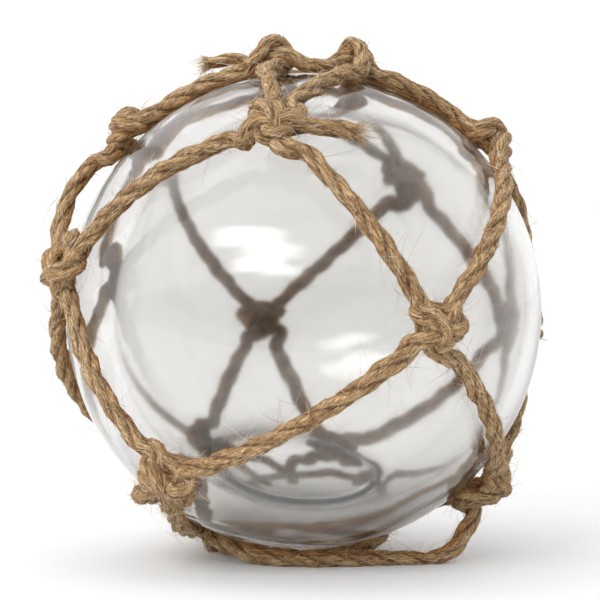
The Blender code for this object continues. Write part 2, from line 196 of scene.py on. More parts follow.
# Fibres that fray out of a cut end
END_FIBRES = 260
END_FIBRE_LENGTH = (0.001, 0.0035)
END_FIBRE_SPREAD = 0.5

# Fibres that lie on the rope: how many for each metre, their points and how far they stand off it
LAID_FIBRES_PER_METRE = 7000
LAID_FIBRE_RINGS = 4
LAID_FIBRE_RADIUS = (0.00003, 0.00007)
LAID_FIBRE_DRIFT = 0.9
LAID_FIBRE_ARCH = 0.00009
LAID_FIBRE_KICK = 0.0003
LAID_FIBRE_KICKED_SHARE = 0.35
LAID_FIBRE_TAPER = 0.7

# Seeds of the random draws, for the net's cords, the cut ends and the ring cords
SEED = 11
TAIL_SEED = 10
RING_SEED = 20

# The glass shell
CAVITY_SHARE = 0.87
CAVITY_SHIFT = (0.05, 0.0, 0.0)
CAVITY_WAVE = 0.0002
GLASS_COLOR = (0.84, 0.835, 0.82)
GLASS_WAVE_SCALE = 38.0
GLASS_WAVE_DEPTH = 0.0006
OUTER_WAVE = 0.12
INNER_WAVE = 0.25
INNER_ROUGHNESS = 0.09
GLASS_STEPS = 160
GLASS_PROFILE_POINTS = 90

# The blob of glass inside the seal: its edge as a share of the groove's angle, and its thickness.
# The softness of its edge and the width of its close rings are in radians.
BLOB_EDGE_SHARE = 0.98
BLOB_THICKNESS = 0.0040
BLOB_SOFTNESS = 0.016
BLOB_RINGS_WIDTH = 0.09

# Painted shade along the blob's edge, a dark band for the darkening that the steep thick edge gives by
# refraction: colour, width in radians, and the side where it is widest
SEAL_SHADE_COLOR = (0.03, 0.012, 0.006)
SEAL_SHADE_WIDTH = 0.075
SEAL_SHADE_SIDE = (-0.6, 0.0, 0.8)
SEAL_SHADE_WIDTH_CHANGE = 0.5
SEAL_SHADE_STRENGTH = (0.7, 0.3)

# The photograph's frame, in pixels, and where the ball's outline lies in it
FRAME_SIZE = 600
BALL_PIXEL = (303.5, 311.0)
BALL_PIXEL_RADIUS = 238.0
CAMERA_ELEVATION = 3.0
CAMERA_DISTANCE = 11.0

# Painted shade: what the rope's colour is multiplied by where it lies against the glass, browner and
# darker there
GLASS_SIDE_PAINTED_SHADE = (1.0, 0.76, 0.52)

# The studio. A window has its name, azimuth, elevation, size and power, and a fill light has its
# name, azimuth, elevation, spread in degrees and strength.
FLOOR_WIDTH = 12.0
FLOOR_FRONT = -0.28
FLOOR_BACK = 7.0
FLOOR_BRIGHTNESS = 0.79
FLOOR_GLOW = 0.05
FRONT_BRIGHTNESS = 0.12
BACK_BRIGHTNESS = 1.12
WINDOW_DISTANCE = 1.2
WINDOW_LEAN = 6.0
WINDOWS = [
    ("window_upper", -30, 36, (0.90, 0.26), 9.0),
    ("window_lower", -22, 24, (0.66, 0.18), 4.5),
]
FILL_LIGHTS = [
    ("fill_left", -40, 42, 95, 1.62),
    ("fill_right", 60, 35, 70, 0.35),
]

GLASS_RADIUS = GLASS_DIAMETER / 2
STRAND_HEIGHT = CLEARANCE + ROPE_DIAMETER / 2
LOOP_LOW = CLEARANCE + LOOP_CORD_DIAMETER / 2
LOOP_RADIUS = LOOP_CORD_DIAMETER / 2 + LOOP_CLEARANCE + RING_CORD_DIAMETER / 2
RING_HEIGHT = LOOP_LOW + LOOP_RADIUS
RING_LOW = CLEARANCE + RING_CORD_DIAMETER / 2
BALL_CENTRE = (Vector(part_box("glass_ball")[0]) + Vector(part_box("glass_ball")[1])) / 2


# Routes of the cords, as the solids have them

def direction(place):
    longitude, latitude = (math.radians(angle) for angle in place)
    return Vector(
        (
            math.cos(latitude) * math.sin(longitude),
            -math.cos(latitude) * math.cos(longitude),
            math.sin(latitude),
        )
    )


def towards(start, end):
    """Unit vector along the ball's surface from one direction towards another."""
    return (end - start * start.dot(end)).normalized()


def on_ball(normal, right, up, offset):
    """A point reached by going along the glass from a place on it, then out by a height."""
    across, along, height = offset
    distance = math.hypot(across, along)
    if distance < 1e-9:
        return normal * (GLASS_RADIUS + height)
    turn = distance / GLASS_RADIUS
    tangent = (right * across + up * along) / distance
    return (normal * math.cos(turn) + tangent * math.sin(turn)) * (GLASS_RADIUS + height)


class Knot:
    """One knot of the net: a place on the ball, with its up direction between its strands."""

    def __init__(self, place):
        self.normal = direction(place)

    def join(self, upper_left, upper_right, lower_left, lower_right):
        self.strands = {
            "upper_left": towards(self.normal, upper_left),
            "upper_right": towards(self.normal, upper_right),
            "lower_left": towards(self.normal, lower_left),
            "lower_right": towards(self.normal, lower_right),
        }
        lean = self.strands["upper_left"] + self.strands["upper_right"]
        lean -= self.strands["lower_left"] + self.strands["lower_right"]
        self.up = (lean - self.normal * lean.dot(self.normal)).normalized()
        self.right = self.up.cross(self.normal)

    def point(self, offset):
        across, along, out = (value * ROPE_DIAMETER for value in offset)
        return on_ball(self.normal, self.right, self.up, (across, along, CLEARANCE + out))

    def anchor(self, strand):
        reach = STRAND_ANCHOR * ROPE_DIAMETER
        heading = self.strands[strand]
        return on_ball(self.normal, heading, self.up, (reach, 0.0, STRAND_HEIGHT))

    def bight(self):
        inner = [self.point(offset) for offset in BIGHT]
        return [self.anchor("upper_left"), *inner, self.anchor("upper_right")]

    def wrap(self):
        inner = [self.point(offset) for offset in WRAP]
        return [self.anchor("lower_left"), *inner, self.anchor("lower_right")]


class RingFrame:
    """The circle that a ring cord follows on the ball."""

    def __init__(self, centre, diameter):
        self.axis = direction(centre)
        self.opening = math.asin(diameter / 2 / (GLASS_RADIUS + RING_HEIGHT))
        front = Vector((0.0, -1.0, 0.0))
        self.front = towards(self.axis, front)
        self.side = self.axis.cross(self.front) * math.copysign(1.0, self.axis.z)

    def normal(self, degrees):
        turn = math.radians(degrees)
        outward = self.front * math.cos(turn) + self.side * math.sin(turn)
        return self.axis * math.cos(self.opening) + outward * math.sin(self.opening)

    def loop(self, degrees, before, after):
        """The net cord's turn over the ring, down inside it and back out under it.

        The cord comes from the knot before and goes on to the knot after.
        """
        normal = self.normal(degrees)
        inward = towards(normal, self.axis)
        turn = math.radians(degrees)
        along = (self.side * math.cos(turn) - self.front * math.sin(turn)).normalized()
        reach = (LOOP_LEG * LOOP_RADIUS, 0.0, STRAND_HEIGHT)
        heading_in = (towards(normal, before) - inward * LOOP_LEG_SPLAY).normalized()
        heading_out = (towards(normal, after) - inward * LOOP_LEG_SPLAY).normalized()
        points = [on_ball(normal, heading_in, inward, reach)]
        for step in range(LOOP_POINTS):
            share = step / (LOOP_POINTS - 1)
            angle = math.radians(LOOP_START_ANGLE - LOOP_SWEEP * share)
            offset = (
                LOOP_CORD_DIAMETER * LOOP_PITCH * (share - 0.5),
                LOOP_RADIUS * math.cos(angle),
                RING_HEIGHT + LOOP_RADIUS * math.sin(angle),
            )
            points.append(on_ball(normal, along, inward, offset))
        points.append(on_ball(normal, heading_out, inward, reach))
        return points


def arc_between(start, end):
    """The strand's own points from one anchor to the next, along the glass."""
    angle = start.angle(end)
    count = int(angle / STRAND_POINT_ANGLE)
    points = []
    for step in range(1, count + 1):
        heading = start.normalized().slerp(end.normalized(), step / (count + 1))
        points.append(heading * (GLASS_RADIUS + STRAND_HEIGHT))
    return points


def join_rows(rows, top, bottom):
    """Give every knot the strands that leave it, towards the rows above and below."""
    for level, row in enumerate(rows):
        count = len(row)
        for index, knot in enumerate(row):
            if level == 0:
                upper = [top.normal(TOP_LOOPS[index]), top.normal(TOP_LOOPS[(index + 1) % count])]
            else:
                upper = [rows[level - 1][index].normal, rows[level - 1][(index + 1) % count].normal]
            if level == len(rows) - 1:
                route = SLACK_STRANDS.get((index - 1) % count)
                left = direction(route[-1][:2]) if route else bottom.normal(BOTTOM_LOOPS[index - 1])
                lower = [left, bottom.normal(BOTTOM_LOOPS[index])]
            else:
                lower = [rows[level + 1][index - 1].normal, rows[level + 1][index].normal]
            knot.join(*upper, *lower)


def net_cords(rows, top, bottom):
    """The net's four closed cords, each as its turns: points, cord radius, and any route after."""
    knot_radius = ROPE_DIAMETER / 2 * KNOT_FULLNESS
    loop_radius = LOOP_CORD_DIAMETER / 2 * SQUEEZED_FULLNESS / ROPE_FULLNESS
    count = len(rows[0])
    cords = {"top": []}
    for index in range(count):
        beside = rows[0][index - 1].normal, rows[0][index].normal
        cords["top"].append((top.loop(TOP_LOOPS[index], *beside), loop_radius, []))
        cords["top"].append((rows[0][index].bight(), knot_radius, []))
    for level, name in enumerate(("upper", "lower")):
        cords[name] = []
        for index in range(count):
            route = BOWED_STRANDS.get((name, index), [])
            cords[name].append((rows[level][index].wrap(), knot_radius, route))
            cords[name].append((rows[level + 1][index].bight(), knot_radius, []))
    cords["bottom"] = []
    for index in range(count):
        cords["bottom"].append((rows[-1][index].wrap(), knot_radius, []))
        route = SLACK_STRANDS.get(index, [])
        after = direction(route[0][:2]) if route else rows[-1][(index + 1) % count].normal
        beside = rows[-1][index].normal, after
        cords["bottom"].append((bottom.loop(BOTTOM_LOOPS[index], *beside), loop_radius, route))
    return cords


def cord_points(turns):
    """The points of one closed cord and the cord's radius at each."""
    points = []
    radii = []
    for index, (turn, radius, route) in enumerate(turns):
        following = turns[(index + 1) % len(turns)][0]
        between = [direction(place[:2]) * (GLASS_RADIUS + place[2]) for place in route]
        between = between or arc_between(turn[-1], following[0])
        points += turn + between
        radii += [ROPE_DIAMETER / 2] + [radius] * (len(turn) - 2)
        radii += [ROPE_DIAMETER / 2] * (len(between) + 1)
    return points, radii


def ring_points(ring, loops):
    """The ring cord's points, held off the glass at each loop and settling towards it in between."""
    points = []
    for step in range(RING_STEPS):
        degrees = 360 * step / RING_STEPS
        nearest = min(abs((degrees - loop + 180) % 360 - 180) for loop in loops)
        settle = max(0.0, min(1.0, (nearest - RING_LIFTED) / RING_SETTLING))
        settle = settle * settle * (3 - 2 * settle)
        height = RING_HEIGHT + (RING_LOW + CLEARANCE - RING_HEIGHT) * settle
        points.append(ring.normal(degrees) * (GLASS_RADIUS + height))
    return points


def ring_end_points(ring):
    """The top ring cord's cut end, lying out to the left over the net."""
    normal = ring.normal(RING_END_ANGLE)
    heading = towards(normal, Vector((-1.0, 0.0, 0.0)))
    side = normal.cross(heading)
    over = CLEARANCE + ROPE_DIAMETER + LOOP_CLEARANCE + RING_CORD_DIAMETER / 2
    return [
        normal * (GLASS_RADIUS + RING_LOW + CLEARANCE),
        on_ball(normal, heading, side, (RING_TAIL_LENGTH * RING_END_OVER, 0.0, over)),
        on_ball(normal, heading, side, (RING_TAIL_LENGTH, 0.0, over + RING_CORD_DIAMETER / 2)),
    ]


def spline_point(before, start, end, after, share):
    """A centripetal Catmull-Rom point between start and end."""
    t1 = max(np.linalg.norm(start - before), 1e-6) ** 0.5
    t2 = t1 + max(np.linalg.norm(end - start), 1e-6) ** 0.5
    t3 = t2 + max(np.linalg.norm(after - end), 1e-6) ** 0.5
    t = t1 + (t2 - t1) * share
    a1 = before * ((t1 - t) / t1) + start * (t / t1)
    a2 = start * ((t2 - t) / (t2 - t1)) + end * ((t - t1) / (t2 - t1))
    a3 = end * ((t3 - t) / (t3 - t2)) + after * ((t - t2) / (t3 - t2))
    b1 = a1 * ((t2 - t) / t2) + a2 * (t / t2)
    b2 = a2 * ((t3 - t) / (t3 - t1)) + a3 * ((t - t1) / (t3 - t1))
    return b1 * ((t2 - t) / (t2 - t1)) + b2 * ((t - t1) / (t2 - t1))


def even_path(points, radii, closed):
    """Evenly spaced points along a smooth curve through the given ones, with their radii."""
    given = np.array([tuple(point) for point in points])
    given_radii = np.array(radii)
    count = len(given)
    dense = []
    dense_radii = []
    for index in range(count if closed else count - 1):
        following = (index + 1) % count
        before = given[index - 1] if closed or index else given[0] * 2 - given[1]
        if closed or index + 2 < count:
            after = given[(index + 2) % count]
        else:
            after = given[-1] * 2 - given[-2]
        for part in range(CURVE_PARTS):
            share = part / CURVE_PARTS
            dense.append(spline_point(before, given[index], given[following], after, share))
            dense_radii.append(given_radii[index] * (1 - share) + given_radii[following] * share)
    dense.append(given[0] if closed else given[-1])
    dense_radii.append(given_radii[0] if closed else given_radii[-1])
    dense = np.array(dense)
    lengths = np.linalg.norm(np.diff(dense, axis=0), axis=1)
    place = np.concatenate([[0.0], np.cumsum(lengths)])
    steps = max(4, round(place[-1] / ROPE_RING_STEP))
    wanted = np.linspace(0.0, place[-1], steps + 1)
    if closed:
        wanted = wanted[:-1]
    path = np.stack([np.interp(wanted, place, dense[:, axis]) for axis in range(3)], axis=1)
    path_radii = np.interp(wanted, place, dense_radii)
    distance = np.linalg.norm(path, axis=1)
    nearest = GLASS_RADIUS + CONTACT_GAP + path_radii * CONTACT_SHARE
    path *= (np.maximum(distance, nearest) / distance)[:, None]
    return path, path_radii, place[-1]


def carried_frames(path, closed):
    """Two unit vectors across the cord at each point, carried along it without twist."""
    if closed:
        tangents = np.roll(path, -1, axis=0) - np.roll(path, 1, axis=0)
    else:
        tangents = np.gradient(path, axis=0)
    tangents /= np.linalg.norm(tangents, axis=1)[:, None]
    normal = path[0] - tangents[0] * path[0].dot(tangents[0])
    normals = []
    for tangent in tangents:
        normal = normal - tangent * normal.dot(tangent)
        normal = normal / np.linalg.norm(normal)
        normals.append(normal)
    normals = np.array(normals)
    binormals = np.cross(tangents, normals)
    if not closed:
        return tangents, normals, binormals, 0.0
    carried = normal - tangents[0] * normal.dot(tangents[0])
    carried /= np.linalg.norm(carried)
    closing = math.atan2(carried.dot(binormals[0]), carried.dot(normals[0]))
    return tangents, normals, binormals, closing


def waves(rng, places, wavelengths, around=None, turns=(0, 1)):
    """A sum of random sine waves along the cord, and round it where angles are given."""
    total = 0.0
    for wavelength in wavelengths:
        phase = rng.uniform(0, 2 * math.pi)
        angle = 2 * math.pi * places / (wavelength * rng.uniform(0.8, 1.25)) + phase
        if around is not None:
            angle = angle + around * rng.integers(*turns)
        total = total + np.sin(angle)
    return total / math.sqrt(len(wavelengths))


class Rope:
    """A twisted rope along a path: its surface, and the places where loose fibres leave it."""

    def __init__(self, name, points, radii, closed, seed):
        self.name = name
        self.closed = closed
        self.rng = np.random.default_rng(SEED + seed)
        full = [radius * ROPE_FULLNESS for radius in radii]
        self.path, self.radii, self.length = even_path(points, full, closed)
        self.tangents, self.normals, self.binormals, closing = carried_frames(self.path, closed)
        count = len(self.path)
        self.places = np.arange(count) * (self.length / (count if closed else count - 1))
        turns = self.length / LAY_LENGTH
        if closed:
            turns = round(turns)
        share = self.places / self.length
        self.untwist = -closing * share
        self.twist = 2 * math.pi * turns * share
        self.start = seed * MATERIAL_SHIFT

    def surface(self):
        """Vertices, one ring after another, with each one's angle, place and height over the groove."""
        angles = 2 * math.pi * np.arange(ROPE_AROUND) / ROPE_AROUND
        lobe = 2 * math.pi / PLIES
        local = (angles + lobe / 2) % lobe - lobe / 2
        ply = PLY_RADIUS_SHARE
        core = 1 - ply
        profile = core * np.cos(local) + np.sqrt(ply**2 - (core * np.sin(local)) ** 2)
        places = self.places[:, None]
        crest = np.cos(local * PLIES / 2) ** 2
        owner = ((angles + lobe / 2) // lobe).astype(int) % PLIES
        swell = np.stack(
            [waves(self.rng, self.places, PLY_WAVES) for _ in range(PLIES)],
            axis=1,
        )
        even = waves(self.rng, self.places, THICKNESS_WAVES)
        shape = profile[None, :] * (1 + ROPE_UNEVENNESS * swell[:, owner] * crest[None, :])
        shape = shape * (1 + ROPE_THICKNESS_WAVE * even[:, None])
        turned = angles[None, :] + (self.twist + self.untwist)[:, None]
        straight = turned - self.untwist[:, None]
        ridges = waves(self.rng, places, RIDGE_WAVES, straight, RIDGE_TURNS)
        reach = self.radii[:, None] * shape + FIBRE_RIDGE * ridges
        offset = (
            np.cos(turned)[..., None] * self.normals[:, None, :]
            + np.sin(turned)[..., None] * self.binormals[:, None, :]
        )
        verts = self.path[:, None, :] + reach[..., None] * offset
        fibre_place = np.stack(
            [
                reach * np.cos(straight),
                reach * np.sin(straight),
                np.broadcast_to(places + self.start, reach.shape),
            ],
            axis=2,
        )
        groove = profile.min()
        height = np.broadcast_to((profile - groove) / (1 - groove), reach.shape)
        self.offset = offset
        self.reach = reach
        return verts, fibre_place, height


def settle(verts):
    """Keep points off the glass and over the floor. The points are round the ball's centre."""
    distance = np.linalg.norm(verts, axis=-1, keepdims=True)
    verts = verts * (np.maximum(distance, GLASS_RADIUS + CONTACT_GAP) / distance)
    verts = verts + np.array(tuple(BALL_CENTRE))
    verts[..., 2] = np.maximum(verts[..., 2], 0.0)
    return verts


def mesh_object(name, verts, faces, material):
    mesh = bpy.data.meshes.new(name)
    mesh.from_pydata(verts.tolist(), [], faces)
    mesh.materials.append(material)
    mesh.shade_smooth()
    made = bpy.data.objects.new(name, mesh)
    bpy.context.scene.collection.objects.link(made)
    return made


def rope_object(rope, material):
    """The rope's surface as one closed tube, with its straightened place kept for its material."""
    verts, fibre_place, height = rope.surface()
    count = len(verts)
    around = ROPE_AROUND
    rings = np.arange(count if rope.closed else count - 1)
    columns = np.arange(around)
    first = (rings[:, None] * around + columns[None, :]).ravel()
    beside = (rings[:, None] * around + (columns[None, :] + 1) % around).ravel()
    after = (((rings[:, None] + 1) % count) * around + columns[None, :]).ravel()
    after_beside = (((rings[:, None] + 1) % count) * around + (columns[None, :] + 1) % around).ravel()
    quads = np.stack([first, beside, after_beside, after], axis=1)
    flat = settle(verts).reshape(-1, 3)
    place = fibre_place.reshape(-1, 3)
    heights = height.reshape(-1)
    faces = quads.tolist()
    corner_index = quads.ravel()
    corner_place = place[corner_index]
    if rope.closed:
        wrapped = np.repeat(rings == count - 1, around)
        late = np.stack([np.zeros_like(wrapped), np.zeros_like(wrapped), wrapped, wrapped], axis=1)
        corner_place[late.ravel(), 2] += rope.length
    else:
        for ring, turn in ((0, -1), (count - 1, 1)):
            bulge = rope.tangents[ring] * turn * rope.radii[ring] * CUT_FACE_BULGE
            middle = settle((rope.path[ring] + bulge)[None])
            flat = np.concatenate([flat, middle])
            heights = np.append(heights, CUT_FACE_HEIGHT)
            hub = len(flat) - 1
            hub_place = np.array([[0.0, 0.0, place[ring * around, 2]]])
            for column in range(around):
                start = ring * around + column
                end = ring * around + (column + 1) % around
                faces.append([hub, end, start] if turn < 0 else [hub, start, end])
                pair = (end, start) if turn < 0 else (start, end)
                corner_place = np.concatenate([corner_place, hub_place, place[list(pair)]])
    made = mesh_object(rope.name, flat, faces, material)
    attribute = made.data.attributes.new("fibre_place", "FLOAT_VECTOR", "CORNER")
    attribute.data.foreach_set("vector", corner_place.ravel())
    attribute = made.data.attributes.new("ply_height", "FLOAT", "POINT")
    attribute.data.foreach_set("value", heights)
    # How much each point faces the glass: the mask of the painted shade on the glass side
    inward = -np.einsum("rci,ri->rc", rope.offset, outward(rope.path)).reshape(-1)
    inward = np.append(inward, np.zeros(len(flat) - len(inward)))
    attribute = made.data.attributes.new("glass_side", "FLOAT", "POINT")
    attribute.data.foreach_set("value", np.clip(inward, 0, 1))
    return made


def outward(points):
    """The ball's outward direction at each point."""
    return points / np.linalg.norm(points, axis=-1)[..., None]


def hairs(name, lines, thick, tones, sides, material):
    """Thin closed three-sided tubes along lines of points, each with a tone of its own."""
    count, rings = lines.shape[:2]
    ways = np.gradient(lines, axis=1)
    ways /= np.linalg.norm(ways, axis=2)[..., None] + 1e-12
    across = np.cross(ways, np.array([0.31, 0.57, 0.76]))
    across /= np.linalg.norm(across, axis=2)[..., None] + 1e-12
    over = np.cross(ways, across)
    corners = 2 * math.pi * np.arange(FIBRE_CORNERS) / FIBRE_CORNERS
    verts = lines[:, :, None, :] + thick[:, :, None, None] * (
        np.cos(corners)[None, None, :, None] * across[:, :, None, :]
        + np.sin(corners)[None, None, :, None] * over[:, :, None, :]
    )
    flat = settle(verts).reshape(-1, 3)
    block = rings * FIBRE_CORNERS
    faces = []
    for index in range(rings - 1):
        for corner in range(FIBRE_CORNERS):
            here = index * FIBRE_CORNERS + corner
            beside = index * FIBRE_CORNERS + (corner + 1) % FIBRE_CORNERS
            faces.append([here, beside, beside + FIBRE_CORNERS, here + FIBRE_CORNERS])
    quads = (np.array(faces)[None] + (np.arange(count) * block)[:, None, None]).reshape(-1, 4)
    caps = np.array([[2, 1, 0], [block - 3, block - 2, block - 1]])
    caps = (caps[None] + (np.arange(count) * block)[:, None, None]).reshape(-1, 3)
    made = mesh_object(name, flat, quads.tolist() + caps.tolist(), material)
    attribute = made.data.attributes.new("fibre_tone", "FLOAT", "POINT")
    attribute.data.foreach_set("value", np.repeat(tones, block))
    attribute = made.data.attributes.new("glass_side", "FLOAT", "POINT")
    attribute.data.foreach_set("value", np.repeat(np.clip(sides, 0, 1), block))
    return made


def loose_fibres(rope, material, extra_ends=0):
    """Loose fibres that leave the rope along its lay and curl away from it."""
    rng = rope.rng
    count = int(rope.length * FIBRES_PER_METRE)
    ring = rng.integers(0, len(rope.path), count)
    column = rng.integers(0, ROPE_AROUND, count)
    root = rope.path[ring] + (rope.reach[ring, column] * FIBRE_ROOT)[:, None] * rope.offset[ring, column]
    out = rope.offset[ring, column]
    way = rope.tangents[ring] * rng.choice([-1.0, 1.0], count)[:, None]
    length = rng.uniform(0, 1, count) ** 2
    length = FIBRE_LENGTH[0] + (FIBRE_LENGTH[1] - FIBRE_LENGTH[0]) * length
    lift = rng.uniform(*FIBRE_LIFT, count)[:, None]
    side = np.cross(way, out) * rng.normal(0, FIBRE_SWING, count)[:, None]
    heading = way + out * lift + side
    heading /= np.linalg.norm(heading, axis=1)[:, None]
    if extra_ends:
        end_root, end_heading, end_length = end_fibres(rope, extra_ends)
        root = np.concatenate([root, end_root])
        heading = np.concatenate([heading, end_heading])
        length = np.concatenate([length, end_length])
        out = np.concatenate([out, end_heading])
        count = len(root)
    curl = rng.normal(0, FIBRE_CURL, (count, 3)) + out * rng.uniform(*FIBRE_RISE, count)[:, None]
    twirl = rng.normal(0, FIBRE_TWIRL, (count, 3))
    shares = np.linspace(0, 1, FIBRE_RINGS)[None, :, None]
    lines = root[:, None, :] + length[:, None, None] * (
        heading[:, None, :] * shares + curl[:, None, :] * shares**2 + twirl[:, None, :] * shares**3
    )
    taper = 1 - FIBRE_TAPER * shares[0, :, 0]
    thick = rng.uniform(*FIBRE_RADIUS, count)[:, None] * taper[None, :]
    tones = rng.uniform(*FIBRE_TONES, count)
    sides = -np.einsum("ni,ni->n", out, outward(root))
    return hairs(rope.name + "_fibres", hold_near(lines, root), thick, tones, sides, material)


def laid_fibres(rope, material):
    """Fibres that lie on the rope's surface, nearly along it, with some ends standing off."""
    rng = rope.rng
    rings = len(rope.path)
    count = int(rope.length * LAID_FIBRES_PER_METRE)
    steps = np.arange(LAID_FIBRE_RINGS)
    stride = rng.integers(1, 3, count)
    longest = 2 * (LAID_FIBRE_RINGS - 1)
    start = rng.integers(0, rings if rope.closed else rings - longest, count)
    ring = (start[:, None] + stride[:, None] * steps) % rings
    share = steps / (LAID_FIBRE_RINGS - 1)
    angle = rng.uniform(0, 2 * math.pi, count)[:, None]
    angle = angle + rng.normal(0, LAID_FIBRE_DRIFT, count)[:, None] * share
    column = (angle - rope.twist[ring]) * ROPE_AROUND / (2 * math.pi)
    lower = np.floor(column).astype(int)
    part = column - lower
    reach = rope.reach[ring, lower % ROPE_AROUND] * (1 - part)
    reach = reach + rope.reach[ring, (lower + 1) % ROPE_AROUND] * part
    arch = rng.exponential(LAID_FIBRE_ARCH, count)[:, None]
    kick = rng.exponential(LAID_FIBRE_KICK, count)
    kick = (kick * (rng.uniform(0, 1, count) < LAID_FIBRE_KICKED_SHARE))[:, None]
    reach = reach + arch * 4 * share * (1 - share) + kick * share**3
    turned = angle + rope.untwist[ring]
    lines = rope.path[ring] + reach[..., None] * (
        np.cos(turned)[..., None] * rope.normals[ring] + np.sin(turned)[..., None] * rope.binormals[ring]
    )
    taper = 1 - LAID_FIBRE_TAPER * np.abs(2 * share - 1) ** 3
    thick = rng.uniform(*LAID_FIBRE_RADIUS, count)[:, None] * taper[None, :]
    tones = rng.uniform(0, 1, count)
    middle = lines[:, LAID_FIBRE_RINGS // 2]
    offset = middle - rope.path[ring[:, LAID_FIBRE_RINGS // 2]]
    sides = -np.einsum("ni,ni->n", offset, outward(middle)) / np.linalg.norm(offset, axis=1)
    return hairs(rope.name + "_laid_fibres", lines, thick, tones, sides, material)


def hold_near(lines, root):
    """Bend fibres back where they would stand further out from the ball than their reach."""
    distance = np.linalg.norm(lines, axis=2)
    rooted = np.linalg.norm(root, axis=1)[:, None]
    out = distance - rooted
    eased = FIBRE_REACH * np.tanh(np.maximum(out, 0) / FIBRE_REACH) + np.minimum(out, 0)
    return lines * ((rooted + eased) / distance)[..., None]


def end_fibres(rope, amount):
    """Roots, headings and lengths of the fibres that fray out of a cut end."""
    rng = rope.rng
    angle = rng.uniform(0, 2 * math.pi, amount)
    reach = rope.radii[-1] * np.sqrt(rng.uniform(0, 1, amount))
    across = rope.normals[-1] * np.cos(angle)[:, None] + rope.binormals[-1] * np.sin(angle)[:, None]
    root = rope.path[-1] + across * reach[:, None]
    heading = rope.tangents[-1] + across * rng.uniform(0.0, END_FIBRE_SPREAD, amount)[:, None]
    heading /= np.linalg.norm(heading, axis=1)[:, None]
    return root, heading, rng.uniform(*END_FIBRE_LENGTH, amount)


# Materials

def new_material(name):
    material = bpy.data.materials.new(name)
    material.use_nodes = True
    return material, material.node_tree.nodes, material.node_tree.links


def ramp(nodes, stops):
    """A colour ramp through (position, colour) stops."""
    node = nodes.new("ShaderNodeValToRGB")
    elements = node.color_ramp.elements
    while len(elements) < len(stops):
        elements.new(0.5)
    for element, (position, color) in zip(elements, stops):
        element.position = position
        element.color = (*color, 1.0)
    return node


def attribute_node(nodes, name):
    node = nodes.new("ShaderNodeAttribute")
    node.attribute_name = name
    return node


def stretched_noise(nodes, links, place, scale, detail, distortion=0.0):
    """Noise over the straightened rope, drawn out along its fibres."""
    mapping = nodes.new("ShaderNodeMapping")
    mapping.inputs["Scale"].default_value = scale
    links.new(place.outputs["Vector"], mapping.inputs["Vector"])
    noise = nodes.new("ShaderNodeTexNoise")
    noise.inputs["Scale"].default_value = 1.0
    noise.inputs["Detail"].default_value = detail
    noise.inputs["Distortion"].default_value = distortion
    links.new(mapping.outputs["Vector"], noise.inputs["Vector"])
    return noise


def multiply(nodes, links, first, second, factor):
    node = nodes.new("ShaderNodeMix")
    node.data_type = "RGBA"
    node.blend_type = "MULTIPLY"
    node.inputs["Factor"].default_value = factor
    links.new(first, node.inputs["A"])
    links.new(second, node.inputs["B"])
    return node.outputs["Result"]


def painted_glass_side_shade(nodes, links, color):
    """Painted shade: the rope's colour made browner and darker where it lies against the glass."""
    under = ramp(nodes, [(0.0, (1.0, 1.0, 1.0)), (0.7, GLASS_SIDE_PAINTED_SHADE)])
    links.new(attribute_node(nodes, "glass_side").outputs["Fac"], under.inputs["Fac"])
    return multiply(nodes, links, color, under.outputs["Color"], 1.0)


def jute_material():
    """Twisted jute: short straw and tan fibres along the rope, brown in the gaps between them, with
    painted shade in the grooves between the plies and on the side against the glass.
    """
    material, nodes, links = new_material("jute_rope")
    shader = nodes["Principled BSDF"]
    place = attribute_node(nodes, "fibre_place")
    height = attribute_node(nodes, "ply_height")
    streaks = stretched_noise(nodes, links, place, (3000, 3000, 420), 5.0, 0.8)
    patches = stretched_noise(nodes, links, place, (420, 420, 160), 2.0)
    tones = stretched_noise(nodes, links, place, (60, 60, 22), 1.0)
    color = ramp(
        nodes,
        [
            (0.32, (0.100, 0.052, 0.020)),
            (0.44, (0.340, 0.205, 0.092)),
            (0.54, (0.560, 0.390, 0.205)),
            (0.68, (0.820, 0.660, 0.430)),
        ],
    )
    links.new(streaks.outputs["Fac"], color.inputs["Fac"])
    patch = ramp(nodes, [(0.3, (0.62, 0.54, 0.47)), (0.60, (1.0, 1.0, 1.0))])
    links.new(patches.outputs["Fac"], patch.inputs["Fac"])
    tone = ramp(nodes, [(0.35, (0.88, 0.80, 0.70)), (0.65, (1.0, 1.0, 1.0))])
    links.new(tones.outputs["Fac"], tone.inputs["Fac"])
    # Painted shade: the colour darkens towards the grooves between the plies
    groove = ramp(nodes, [(0.0, (0.42, 0.33, 0.26)), (0.60, (1.0, 1.0, 1.0))])
    links.new(height.outputs["Fac"], groove.inputs["Fac"])
    mixed = multiply(nodes, links, color.outputs["Color"], patch.outputs["Color"], 1.0)
    mixed = multiply(nodes, links, mixed, tone.outputs["Color"], 1.0)
    mixed = multiply(nodes, links, mixed, groove.outputs["Color"], 1.0)
    mixed = painted_glass_side_shade(nodes, links, mixed)
    links.new(mixed, shader.inputs["Base Color"])
    rough = nodes.new("ShaderNodeMapRange")
    rough.inputs["To Min"].default_value = 0.95
    rough.inputs["To Max"].default_value = 0.62
    links.new(streaks.outputs["Fac"], rough.inputs["Value"])
    links.new(rough.outputs["Result"], shader.inputs["Roughness"])
    bump = nodes.new("ShaderNodeBump")
    bump.inputs["Strength"].default_value = 1.0
    bump.inputs["Distance"].default_value = 0.0004
    links.new(streaks.outputs["Fac"], bump.inputs["Height"])
    links.new(bump.outputs["Normal"], shader.inputs["Normal"])
    return material


